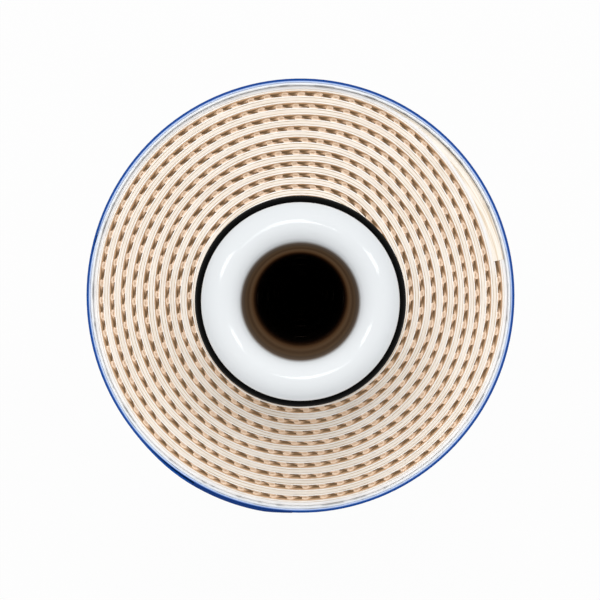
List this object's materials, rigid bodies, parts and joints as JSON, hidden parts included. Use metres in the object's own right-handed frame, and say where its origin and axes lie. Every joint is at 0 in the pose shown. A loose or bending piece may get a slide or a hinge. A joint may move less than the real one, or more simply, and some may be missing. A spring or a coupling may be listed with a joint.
{
  "type": "reverse osmosis membrane element",
  "caption": "Long upright cylinder for filtering water: a hollow tube wrapped in a rolled membrane leaf and a tape skin, with a cup seal near one end and ring seals at the other.",
  "frame": {"origin": "centre of the feed end's flat face, at the bottom of the standing element", "axes": "+Z along the permeate tube, from the feed end up to the product end with the ring seals"},
  "size_m": [0.051, 0.051, 0.298],
  "materials": {
    "tube_white": "smooth moulded, glossy",
    "seal_black": "smooth black rubber with a soft sheen",
    "carrier_cloth": "stiffened knitted polyester cloth",
    "membrane_cream": "cast membrane on polyester paper, matt and slightly glossy on the coated side",
    "spacer_net": "extruded translucent net",
    "cured_glue": "cured clear adhesive, faintly yellow",
    "clear_film": "clear film, glossy",
    "blue_tape": "blue packing tape, glossy"
  },
  "bodies": {
    "root": {"permeate_tube": "tube_white", "tube_end_plug": "tube_white", "o_ring_outer": "seal_black", "o_ring_inner": "seal_black", "brine_seal": "seal_black", "leaf_root_glue": "cured_glue", "leaf_tail_glue": "cured_glue", "permeate_carrier": "carrier_cloth", "membrane_sheet": "membrane_cream", "feed_spacer": "spacer_net", "film_wrap": "clear_film", "outer_tape": "blue_tape"}
  },
  "joints": []
}
